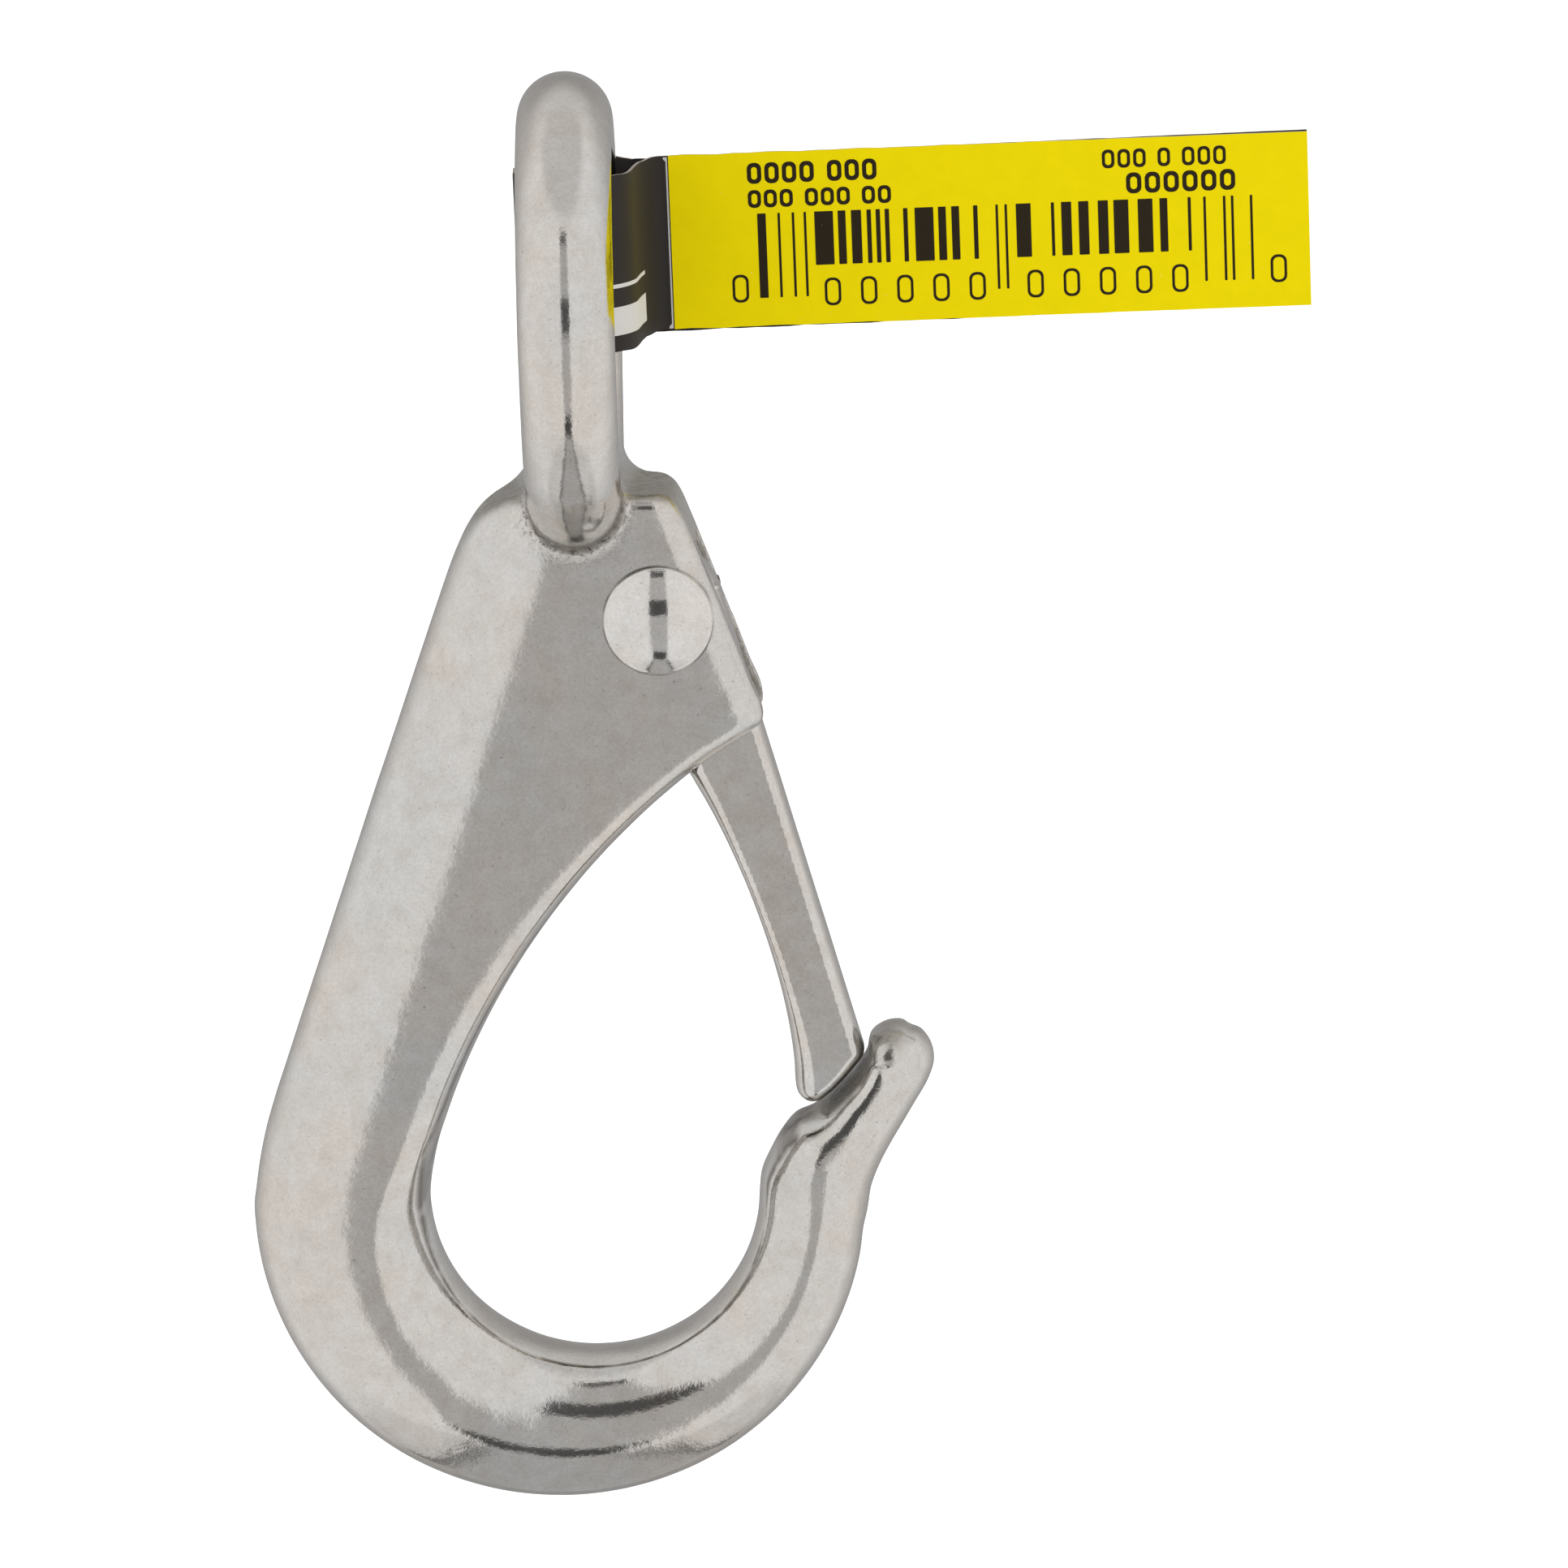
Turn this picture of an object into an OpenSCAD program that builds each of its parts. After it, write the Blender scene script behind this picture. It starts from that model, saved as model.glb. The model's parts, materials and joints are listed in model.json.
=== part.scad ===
// Safety hook with a fixed round eye, a sprung gate and a paper hang tag.
// Millimetres. Origin is the centre of the eye, +Z is up along the load line,
// +X points from the shank to the nose, -Y is the side with the large rivet head.

/* [Eye] */
// Opening of the eye
eye_opening = 18.2; // [15:0.1:25]
// Diameter of the round bar of the eye
eye_bar_d = 6.0; // [4:0.1:8]

/* [Forging] */
// Thickness of the hook across its flat faces
body_thickness = 10; // [8:0.1:13]
// Radius of the saddle where a ring or rope rests
bowl_r = 10.5; // [8:0.1:13]
// Depth of the saddle centre below the eye centre
bowl_drop = 56.7; // [50:0.1:65]
// Radius of the outside of the bowl
bowl_outer_r = 19.55; // [16:0.05:23]
// Half of the width of the trimmed inside edge
land_half = 2.4; // [1.5:0.1:3.5]
// Height of the crown of the trimmed inside edge
land_crown = 0.75; // [0:0.05:1.2]
// Radius of the rounded nose tip
nose_r = 2.35; // [1.5:0.05:3]

/* [Gate] */
// Gate hinge, distance right of the load line
pivot_x = 5.0; // [3:0.1:7]
// Gate hinge, distance below the eye centre
pivot_drop = 18.8; // [16:0.1:22]
// Width of the slot between the two cheeks
slot_width = 5.0; // [4:0.1:6]
// Thickness of the gate
gate_thickness = 4.4; // [3:0.1:5.4]
// Radius of the gate around its hinge
gate_root_r = 4.1; // [3.5:0.1:5]
// Slope of the straight outer edge of the gate, degrees
gate_slope = 16.0; // [10:0.1:20]
// Gap between the gate tip and its seat on the nose
seat_gap = 0.32; // [0.2:0.01:1]

/* [Rivet and spring] */
// Diameter of the rivet shank
rivet_d = 3.0; // [2:0.1:4]
// Diameter of the domed rivet head
rivet_head_d = 6.8; // [5:0.1:8]
// Radius of the dome on the rivet head
rivet_dome_r = 6.7; // [4:0.1:12]
// Diameter of the flattened rear rivet head
rivet_tail_d = 5.6; // [4:0.1:7]
// Wire diameter of the gate spring
wire_d = 0.6; // [0.4:0.05:0.8]
// Number of full turns of the gate spring
spring_turns = 3; // [2:1:4]

/* [Hang tag] */
// Length of the flat tail of the tag, from the loop to its end
tag_tail = 41.9; // [20:0.5:60]
// Height of the tag
tag_height = 11.5; // [8:0.1:16]
// Height of the middle of the tag above the eye centre
tag_rise = 2.3; // [-2:0.1:5]
// Thickness of one layer of the tag
tag_layer = 0.3; // [0.2:0.05:0.6]
// Upward tilt of the tail of the tag, degrees
tag_tilt = 0.7; // [0:0.1:5]

/* [Hidden] */
$fn = 64;
eye_bar_r = eye_bar_d / 2;
eye_r = (eye_opening + eye_bar_d) / 2;
half = body_thickness / 2;
bowl = [-0.15, -bowl_drop];
bowl_outer = [-2.45, -bowl_drop - 0.65];
pivot = [pivot_x, -pivot_drop];
nose_tip = [19.4, -48.45];
slot_half = slot_width / 2;
gate_half = gate_thickness / 2;
rivet_r = rivet_d / 2;
running_gap = 0.06;
bore_gap = 0.02;
slot_left = -0.3;
slot_roof = pivot[1] + gate_root_r + 0.4;

// ---------- small helpers ----------
function lerp(a, b, t) = a + (b - a) * t;
function unit(v) = v / norm(v);
function polar(c, r, a) = c + r * [cos(a), sin(a)];
function arc(c, r, a0, a1, n) = [for (i = [0 : n]) polar(c, r, lerp(a0, a1, i / n))];
function bezier(p, t) =
    pow(1 - t, 3) * p[0] + 3 * pow(1 - t, 2) * t * p[1] + 3 * (1 - t) * t * t * p[2] + pow(t, 3) * p[3];
function curve(p, n, t0 = 0, t1 = 1) = [for (i = [0 : n]) bezier(p, lerp(t0, t1, i / n))];
function line(a, b, n) = [for (i = [0 : n]) lerp(a, b, i / n)];
function tail(list) = [for (i = [1 : len(list) - 1]) list[i]];
// value of a quantity given at a few stations as [station, value]
function level(keys, s) = lookup(s, keys);

// skin over equal rings of points, closed by a fan at each end
module skin(rings) {
    m = len(rings[0]);
    n = len(rings);
    points = [for (ring = rings) for (p = ring) p];
    sides = [for (i = [0 : n - 2]) for (j = [0 : m - 1]) let (k = (j + 1) % m, a = i * m, b = a + m)
        each [[a + j, b + j, b + k], [a + j, b + k, a + k]]];
    first = [for (j = [1 : m - 2]) [0, j, j + 1]];
    last = [for (j = [1 : m - 2]) [(n - 1) * m, (n - 1) * m + j + 1, (n - 1) * m + j]];
    polyhedron(points, concat(sides, first, last), convexity = 6);
}

// ---------- outline of the forging in the X-Z plane ----------
// The skin runs through stations: top cap, head, corner of the cheek, shank, bowl, nose, tip.
at_head = 4;
at_corner = 9;
at_shank = 13;
at_bowl = 27;
at_nose = at_bowl + 28;
at_tip = at_nose + 7;
last = at_tip + 5;

// back of the hook, from the top corner round the bowl to the nose tip
back_top = [-7.5, -14.1];
back_mid = [-12.3, -27.3];
outer = concat(
    [[-3.4, -10.95], [-4.9, -11.4], [-6.2, -12.2], [-7.05, -13.15]],
    line(back_top, back_mid, 4),
    tail(line(back_mid, [-13.45, -30.4], 4)),
    tail(line([-13.45, -30.4], [-20.35, -49.75], 11)),
    [[-21.05, -51.95], [-21.55, -54.1], [-21.9, -56.2]],
    arc(bowl_outer, bowl_outer_r, 178, 354, 27),
    [[17.25, -58.4], [17.55, -56.8], [18.1, -55.4], [18.85, -54.0], [19.7, -52.6], [20.55, -51.2], [21.3, -49.95]],
    arc(nose_tip, nose_r, -25, 52, 5));

// front edge of the hook: cheek, its corner, inside of the shank, saddle and nose
cheek_bottom = [11.45, -25.0];
ear_r = 1.0;
ear = [10.5, -25.35];
shank_inside = [[10.95, -26.3], [-5.25, -36.35], [-10.5, -52.6], bowl - [bowl_r, 0]];
inner = concat(
    [[5.5, -10.95], [6.3, -11.3], [6.9, -12.1], [7.25, -13.0]],
    line([7.5, -13.9], cheek_bottom, 4),
    arc(ear, ear_r, 10, -50, 3),
    tail(curve(shank_inside, 14)),
    arc(bowl, bowl_r - 0.12, 180, 359, 27),
    [[10.5, -55.75], [11.1, -54.4], [11.9, -53.0], [12.75, -52.0], [13.9, -51.5], [15.2, -50.35], [16.5, -49.0]],
    arc(nose_tip, nose_r, 152, 78, 5));

// widths of the outer rounding and of the inner bevel, half thickness, and the trimmed edge
outer_round = [[0, 2.0], [at_head, 5.4], [8, 6.2], [at_shank, 7.2], [20, 7.4], [at_bowl - 1, 6.4],
    [at_bowl + 4, 5.6], [at_bowl + 9, 5.0], [at_bowl + 14, 4.5], [at_bowl + 20, 4.0],
    [at_nose, 3.6], [at_tip, 2.6], [last, 1.0]];
inner_bevel = [[0, 0.9], [3, 1.3], [at_head, 1.6], [8, 1.6], [at_shank, 1.6], [at_bowl - 4, 1.7],
    [at_bowl, 2.4], [at_bowl + 4, 3.9], [at_bowl + 8, 5.0], [at_bowl + 14, 4.3], [at_bowl + 20, 3.3],
    [at_nose, 2.9], [at_tip, 1.8], [last, 0.8]];
half_thickness = [[0, 0.55], [1, 0.78], [2, 0.93], [3, 0.99], [at_head, 1], [at_bowl + 14, 1],
    [at_nose, 0.84], [at_tip, 0.66], [at_tip + 2, 0.6], [at_tip + 3, 0.5], [at_tip + 4, 0.37], [last, 0.2]];
land_edge = [[0, 1.5], [1, 2.6], [at_head, slot_half + 1.3], [at_shank + 8, slot_half + 0.8],
    [at_bowl - 2, land_half], [at_nose, land_half], [at_tip, land_half * 0.62], [last, land_half * 0.25]];
crown = [[0, 0.1], [at_corner, 0.1], [at_shank + 6, 0.5], [at_bowl - 2, land_crown],
    [at_nose, land_crown], [at_tip, 0.3], [last, 0.15]];

// inward normal of the front edge at one station
function inward(s) = let (d = unit(inner[min(s + 1, last)] - inner[max(s - 1, 0)])) [d[1], -d[0]];

// direction the inner edge is built in; at both ends it points straight across
function across_dir(s) = s < at_head || s >= at_tip ? unit(outer[s] - inner[s]) : inward(s);

// inner edge of the flat face; it turns one sharp corner inside the corner of the cheek
function flat_inside(s, b) = s >= at_corner && s < at_shank
    ? polar(ear, (b - ear_r) / sin(52), 160) + 0.12 * [cos(10 - 20 * (s - at_corner)), sin(10 - 20 * (s - at_corner))]
    : inner[s] + across_dir(s) * b;

// closed ring of points across the hook at one station
function across(s) =
    let (o = outer[s], i = inner[s], span = norm(o - i), u = unit(o - i),
        t = half * level(half_thickness, s), e = level(land_edge, s),
        b = min(level(inner_bevel, s), span * 0.38), w = min(level(outer_round, s), span * 0.47),
        flat_in = flat_inside(s, b), flat_out = o - u * w, edge = i + across_dir(s) * level(crown, s),
        near = concat(
            [[i[0], -e * 0.35, i[1]], [edge[0], -e, edge[1]]],
            [for (a = [35, 65]) let (p = lerp(edge, flat_in, 1 - cos(a))) [p[0], -lerp(e, t, sin(a)), p[1]]],
            [[flat_in[0], -t, flat_in[1]]],
            [for (a = [0, 18, 36, 54, 72]) let (p = lerp(flat_out, o, sin(a))) [p[0], -t * cos(a), p[1]]]))
    concat(near, [[o[0], 0, o[1]]],
        [for (k = [len(near) - 1 : -1 : 0]) [near[k][0], -near[k][1], near[k][2]]]);

module forging() {
    skin([for (s = [0 : last]) across(s)]);
}

module across_y(width) {
    rotate([90, 0, 0]) linear_extrude(width, center = true) children();
}

// seat on the nose for the gate tip, with a lead-in along the path of the tip
lead_in = 16;

module gate_seat() {
    toe_low = polar(toe_corner, toe_r + seat_gap, -90 + lead_in);
    tip_side = polar(tip_corner, tip_r + seat_gap, 40);
    across_y(body_thickness) polygon(concat(
        [toe_low - 3.2 * [cos(lead_in), sin(lead_in)]],
        arc(toe_corner, toe_r + seat_gap, -90 + lead_in, -45, 3),
        arc(tip_corner, tip_r + seat_gap, -45, 40, 5),
        [tip_side - [3, 0], toe_low + [-3.2, 2]]));
}

module hook_body() {
    color([0.74, 0.72, 0.70]) difference() {
        union() {
            forging();
            rotate([0, 90, 0]) rotate_extrude($fn = 96) translate([eye_r, 0]) circle(eye_bar_r, $fn = 48);
        }
        translate([slot_left, -slot_half, -36.2]) cube([16, slot_width, slot_roof + 36.2]);
        translate([bowl[0], 0, bowl[1]]) rotate([90, 0, 0]) cylinder(r = bowl_r, h = 20, center = true, $fn = 96);
        translate([pivot[0], 0, pivot[1]]) rotate([90, 0, 0])
            cylinder(r = rivet_r + bore_gap, h = 20, center = true, $fn = 48);
        gate_seat();
    }
}

// ---------- gate ----------
gate_dir = [sin(gate_slope), -cos(gate_slope)];
gate_shoulder = polar(pivot, gate_root_r, gate_slope);
tip_r = 0.95;
tip_corner = [16.35, -47.75];
toe_r = 1.1;
toe_corner = [13.95, -50.0];
gate_inside = [[12.85, -50.0], [12.85, -44.2], [10.2, -35.8], [6.9, -30.0]];
gate_outline = concat(
    line(gate_shoulder, polar(tip_corner, tip_r, gate_slope) - 0.1 * gate_dir, 3),
    arc(tip_corner, tip_r, gate_slope, -45, 4),
    arc(toe_corner, toe_r, -45, -180, 7),
    tail(curve(gate_inside, 10)),
    [[6.5, -29.2], [6.45, -28.3], [6.2, -27.2], [5.2, -25.6]],
    arc(pivot, gate_root_r, 222, gate_slope + 14, 13));

// outline ring pulled in by one width on the side facing out and another inside
function pulled(outline, amount) = [for (i = [0 : len(outline) - 1])
    let (n = len(outline), a = outline[(i + n - 1) % n], b = outline[(i + 1) % n], d = unit(b - a))
    outline[i] + amount * [d[1], -d[0]]];

function gate_ring(amount, y) = [for (p = pulled(gate_outline, amount)) [p[0], y, p[1]]];

module gate_arm() {
    skin([gate_ring(0.8, -gate_half), gate_ring(0.3, -gate_half + 0.25), gate_ring(0, -gate_half + 0.85),
        gate_ring(0, gate_half - 0.85), gate_ring(0.3, gate_half - 0.25), gate_ring(0.8, gate_half)]);
}

module gate() {
    color([0.70, 0.68, 0.66]) difference() {
        gate_arm();
        translate([pivot[0], 0, pivot[1]]) rotate([90, 0, 0]) {
            cylinder(r = rivet_r + running_gap, h = body_thickness, center = true, $fn = 48);
            cylinder(r = spring_pocket_r, h = spring_pocket_w, center = true, $fn = 60);
        }
        // room for the two legs of the spring, open towards the shank
        translate([pivot[0], 0, pivot[1]]) rotate([0, -gate_slope, 0])
            translate([-8, -spring_pocket_w / 2, -5.8]) cube([8 - coil_r + wire_d / 2 + 0.06, spring_pocket_w, 9.2]);
    }
}

// ---------- rivet ----------
spring_pocket_r = 3.1;
spring_pocket_w = 3.1;

function cap_height(ball_r, cap_r) = ball_r - sqrt(ball_r * ball_r - cap_r * cap_r);

// domed head standing on z = 0
module dome(ball_r, cap_r, rim) {
    h = cap_height(ball_r, cap_r);
    intersection() {
        translate([0, 0, rim + h - ball_r]) sphere(r = ball_r, $fn = 96);
        cylinder(r = cap_r, h = rim + h + 1, $fn = 72);
    }
}

module rivet() {
    color([0.80, 0.78, 0.75]) translate([pivot[0], 0, pivot[1]]) {
        rotate([90, 0, 0]) cylinder(r = rivet_r, h = body_thickness + 0.2, center = true, $fn = 48);
        translate([0, -half - 0.03, 0]) rotate([90, 0, 0]) dome(rivet_dome_r, rivet_head_d / 2, 0.25);
        translate([0, half + 0.03, 0]) rotate([-90, 0, 0]) dome(5.2, rivet_tail_d / 2, 0.2);
    }
}

// ---------- spring ----------
coil_r = rivet_r + running_gap + 0.25 + wire_d / 2;
coil_pitch = wire_d + 0.08;
wire_sides = 8;

function wire_ring(c, across_a, across_b) = [for (i = [0 : wire_sides - 1]) let (a = 360 * i / wire_sides)
    c + wire_d / 2 * (cos(a) * across_a + sin(a) * across_b)];

function coil_point(a) = [pivot[0] + coil_r * cos(a), coil_pitch * (a - coil_mid) / 360, pivot[1] + coil_r * sin(a)];

// the coil starts where one leg reaches back to the slot wall and ends where the other follows the gate
coil_start = 90;
coil_end = coil_start + 360 * spring_turns + 90 + gate_slope;
coil_mid = (coil_start + coil_end) / 2;
leg_gate = 4.6;

module gate_spring() {
    steps = 24 * spring_turns;
    leg_back = pivot[0] - slot_left - 0.3;
    start = coil_point(coil_start);
    finish = coil_point(coil_end);
    out = [-sin(coil_end), 0, cos(coil_end)];
    color([0.62, 0.62, 0.64]) skin(concat(
        [wire_ring(start + [-leg_back, 0, 0], [0, 0, -1], [0, 1, 0])],
        [for (i = [0 : steps]) let (a = lerp(coil_start, coil_end, i / steps))
            wire_ring(coil_point(a), [cos(a), 0, sin(a)] * -1, [0, 1, 0])],
        [wire_ring(finish + leg_gate * out, [cos(coil_end), 0, sin(coil_end)] * -1, [0, 1, 0])]));
}

// ---------- hang tag ----------
loop_front = 3.25;
loop_back = 15.85;
loop_mid = (loop_front + loop_back) / 2;
loop_half_y = (loop_back - loop_front) / 2;
loop_left = -3.9;
loop_right = 4.4;
loop_square = 2.6;
tail_y = 12.9;

// loop of the tag seen from above, a squared oval pulled in by an amount for its inside
function squared(v) = sign(v) * pow(abs(v), 2 / loop_square);
function loop_outline(pull) = [for (a = [25 : 10 : 335])
    [(loop_left + loop_right) / 2 + ((loop_right - loop_left) / 2 - pull) * squared(cos(a)),
     loop_mid + (loop_half_y - pull) * squared(sin(a))]];

module tag_plan() {
    difference() {
        union() {
            polygon(concat([[loop_right + 1.2, tail_y + tag_layer]], loop_outline(0),
                [[loop_right + 1.2, tail_y - tag_layer]]));
            translate([loop_right + 0.9, tail_y - tag_layer]) square([tag_tail, tag_layer * 2]);
        }
        polygon(loop_outline(tag_layer));
    }
}

module hang_tag() {
    color([0.87, 0.80, 0.05]) translate([0, 0, tag_rise]) rotate([0, -tag_tilt, 0])
        linear_extrude(tag_height, center = true) tag_plan();
}

hook_body();
gate();
rivet();
gate_spring();
hang_tag();
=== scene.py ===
import json
import math

import bpy
import numpy as np
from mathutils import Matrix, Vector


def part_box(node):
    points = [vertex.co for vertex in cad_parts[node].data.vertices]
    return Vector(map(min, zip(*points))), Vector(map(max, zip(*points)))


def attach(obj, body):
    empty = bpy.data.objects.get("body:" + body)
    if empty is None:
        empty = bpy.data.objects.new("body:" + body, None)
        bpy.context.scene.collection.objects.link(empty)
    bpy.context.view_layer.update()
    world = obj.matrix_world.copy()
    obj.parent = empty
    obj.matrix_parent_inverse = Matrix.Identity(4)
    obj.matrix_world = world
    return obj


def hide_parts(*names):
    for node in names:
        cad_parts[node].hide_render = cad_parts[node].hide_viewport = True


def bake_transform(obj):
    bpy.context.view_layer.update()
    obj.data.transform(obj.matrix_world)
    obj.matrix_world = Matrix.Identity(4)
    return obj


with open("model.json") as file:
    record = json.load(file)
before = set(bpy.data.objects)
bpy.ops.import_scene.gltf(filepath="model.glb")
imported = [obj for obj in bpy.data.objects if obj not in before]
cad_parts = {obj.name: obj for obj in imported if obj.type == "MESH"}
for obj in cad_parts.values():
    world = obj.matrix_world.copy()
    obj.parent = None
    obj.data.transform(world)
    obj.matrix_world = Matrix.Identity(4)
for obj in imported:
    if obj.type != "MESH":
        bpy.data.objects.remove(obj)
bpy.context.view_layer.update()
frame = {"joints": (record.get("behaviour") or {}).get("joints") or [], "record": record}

import openvdb
from mathutils import Quaternion, Vector

# Lengths in this script are millimetres in the frame's own axes, until a mesh is made in metres.
MM = 0.001


def in_mm(corner):
    return np.array(corner) / MM


body_low, body_high = (in_mm(c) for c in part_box("hook_body"))
gate_low, gate_high = (in_mm(c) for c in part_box("gate"))
rivet_low, rivet_high = (in_mm(c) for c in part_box("rivet"))
mounts = {m["name"]: m for m in frame["record"]["mounts"]}
hinge = [j for j in frame["joints"] if j["name"] == "gate_hinge"][0]

# ---------- sizes ----------
RING_OUTER = body_high[2]
BAR_R = 3.0
RING_R = RING_OUTER - BAR_R
HALF = 5.0
BOWL = in_mm(mounts["bowl"]["pos_m"])[[0, 2]]
BOWL_R = mounts["bowl"]["dims"]["r_mm"]
BOWL_OUTER_R = 19.55
BOWL_OUTER = np.array([body_low[0] + BOWL_OUTER_R, body_low[2] + BOWL_OUTER_R])
PIVOT = in_mm(hinge["pos_m"])[[0, 2]]
NOSE_R = 2.35
NOSE = np.array([body_high[0] - NOSE_R, -48.45])
HEAD_TOP = -10.95
SLOT_HALF = 2.5
SLOT_LEFT = -0.3
SLOT_RIGHT = 16
SLOT_ROOF = -14.3
SLOT_FLOOR = -36.2
GATE_HALF = gate_high[1]
GATE_ROOT_R = 4.1
GATE_SLOPE = 16.0
GATE_DOWN = np.array([math.sin(math.radians(GATE_SLOPE)), -math.cos(math.radians(GATE_SLOPE))])
RIVET_R = 1.5
FRONT_HEAD_R = (rivet_high[0] - rivet_low[0]) / 2
VOXEL = 0.28


# ---------- curves in the X-Z plane ----------
def polar(centre, radius, degrees):
    a = math.radians(degrees)
    return np.array(centre) + radius * np.array([math.cos(a), math.sin(a)])


def arc(centre, radius, start, end, count):
    return [polar(centre, radius, start + (end - start) * i / count) for i in range(count + 1)]


def line(start, end, count):
    start, end = np.array(start, float), np.array(end, float)
    return [start + (end - start) * i / count for i in range(count + 1)]


def bezier(p, count):
    p = [np.array(q, float) for q in p]
    found = []
    for i in range(count + 1):
        t = i / count
        found.append((1 - t) ** 3 * p[0] + 3 * (1 - t) ** 2 * t * p[1]
                     + 3 * (1 - t) * t * t * p[2] + t ** 3 * p[3])
    return found


def graded(points, *steps):
    """Points of one stretch of an outline with section values that run evenly through the given steps."""
    points, steps = np.array(points, float), np.array(steps, float)
    share = np.linspace(0, len(steps) - 1, len(points))
    values = [np.interp(share, range(len(steps)), column) for column in steps.T]
    return np.column_stack([points, *values])


class Outline:
    """A smooth curve through rows of [x, z, section values], which finds how far points are from it."""

    STRIDE = 10

    def __init__(self, stretches, step=0.22):
        rows = np.vstack(stretches)
        keep = np.r_[True, np.linalg.norm(np.diff(rows[:, :2], axis=0), axis=1) > 1e-6]
        rows = rows[keep]
        h = np.linalg.norm(np.diff(rows[:, :2], axis=0), axis=1)
        u = np.r_[0, np.cumsum(h)]
        slope = np.diff(rows, axis=0) / h[:, None]
        tangent = np.vstack([slope[:1], (slope[:-1] * h[1:, None] + slope[1:] * h[:-1, None])
                             / (h[1:] + h[:-1])[:, None], slope[-1:]])
        s = np.linspace(0, u[-1], int(u[-1] / step) + 1)
        k = np.clip(np.searchsorted(u, s, side="right") - 1, 0, len(h) - 1)
        t = ((s - u[k]) / h[k])[:, None]
        hk = h[k][:, None]
        rows = ((2 * t ** 3 - 3 * t ** 2 + 1) * rows[k] + (t ** 3 - 2 * t ** 2 + t) * hk * tangent[k]
                + (3 * t ** 2 - 2 * t ** 3) * rows[k + 1] + (t ** 3 - t ** 2) * hk * tangent[k + 1])
        self.points = rows[:, :2]
        self.values = rows[:, 2:]

    def query(self, x, z, chunk=40000):
        """Distance to the curve, positive to the left of its run, and the section values nearest."""
        p = np.column_stack([np.ravel(x), np.ravel(z)])
        distance = np.empty(len(p))
        values = np.empty((len(p), self.values.shape[1]))
        coarse = self.points[:: self.STRIDE]
        reach = np.arange(-self.STRIDE, self.STRIDE + 1)
        last = len(self.points) - 2
        for a in range(0, len(p), chunk):
            q = p[a:a + chunk]
            near = ((q[:, None, :] - coarse[None]) ** 2).sum(2).argmin(1) * self.STRIDE
            index = np.clip(near[:, None] + reach, 0, last)
            start = self.points[index]
            run = self.points[index + 1] - start
            away = q[:, None, :] - start
            t = np.clip((away * run).sum(2) / (run ** 2).sum(2), 0, 1)
            gap = away - t[..., None] * run
            square = (gap ** 2).sum(2)
            best = square.argmin(1)
            row = np.arange(len(q))
            cross = run[row, best, 0] * away[row, best, 1] - run[row, best, 1] * away[row, best, 0]
            distance[a:a + chunk] = np.sqrt(square[row, best]) * np.where(cross >= 0, 1, -1)
            i, f = index[row, best], t[row, best][:, None]
            values[a:a + chunk] = self.values[i] * (1 - f) + self.values[i + 1] * f
        shape = np.shape(x)
        return distance.reshape(shape), [values[:, k].reshape(shape) for k in range(values.shape[1])]


# ---------- fields: negative inside, in millimetres ----------
def smooth_max(a, b, k):
    h = np.maximum(k - np.abs(a - b), 0) / k
    return np.maximum(a, b) + h * h * k / 4


def smooth_min(a, b, k):
    return -smooth_max(-a, -b, k)


def box_field(p, low, high):
    low, high = np.array(low, float), np.array(high, float)
    q = [np.abs(p[i] - (low[i] + high[i]) / 2) - (high[i] - low[i]) / 2 for i in range(3)]
    outside = np.sqrt(sum(np.maximum(c, 0) ** 2 for c in q))
    return outside + np.minimum(np.maximum(np.maximum(q[0], q[1]), q[2]), 0)


def waves(p, length, seed, count=7):
    """Smooth unevenness between -1 and 1 with about that wavelength."""
    rng = np.random.default_rng(seed)
    total = 0
    for _ in range(count):
        d = rng.normal(size=3)
        d /= np.linalg.norm(d)
        k = 2 * math.pi / (length * rng.uniform(0.7, 1.5))
        total = total + np.sin(k * (d[0] * p[0] + d[1] * p[1] + d[2] * p[2]) + rng.uniform(0, 6.28))
    return total / count


# ---------- outline of the forging ----------
# back of the hook: section values are rounding width and half thickness
BACK_MID = (-12.3, -27.3)
BACK_SIDE = (-13.45, -30.4)
BACK_LOW = (-20.35, -49.75)
back = Outline([
    graded(line((-5.65, -9.0), BACK_MID, 7), (6.5, HALF), (6.75, HALF)),
    graded(line(BACK_SIDE, BACK_LOW, 9), (6.9, HALF), (7.0, HALF)),
    graded([(-21.05, -51.95), (-21.55, -54.1), (-21.9, -56.2)], (7.0, HALF), (6.9, HALF)),
    graded(arc(BOWL_OUTER, BOWL_OUTER_R, 178, 236, 11), (6.9, HALF), (6.6, 4.97)),
    graded(arc(BOWL_OUTER, BOWL_OUTER_R, 240, 264, 5), (6.6, 4.88), (6.2, 4.25)),
    graded(arc(BOWL_OUTER, BOWL_OUTER_R, 269, 290, 4), (6.1, 4.2), (5.6, 4.1)),
    graded(arc(BOWL_OUTER, BOWL_OUTER_R, 297, 354, 10), (5.3, 4.1), (3.3, 4.3)),
    graded([(17.25, -58.4), (17.55, -56.8), (18.1, -55.4), (18.85, -54.0)], (3.2, 4.3), (3.5, 4.25)),
    graded([(19.7, -52.6), (20.55, -51.2), (21.3, -49.95)], (3.5, 4.1), (3.1, 3.45)),
    graded(arc(NOSE, NOSE_R, -25, 68, 7), (2.6, 3.2), (1.6, 2.75)),
])

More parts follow.
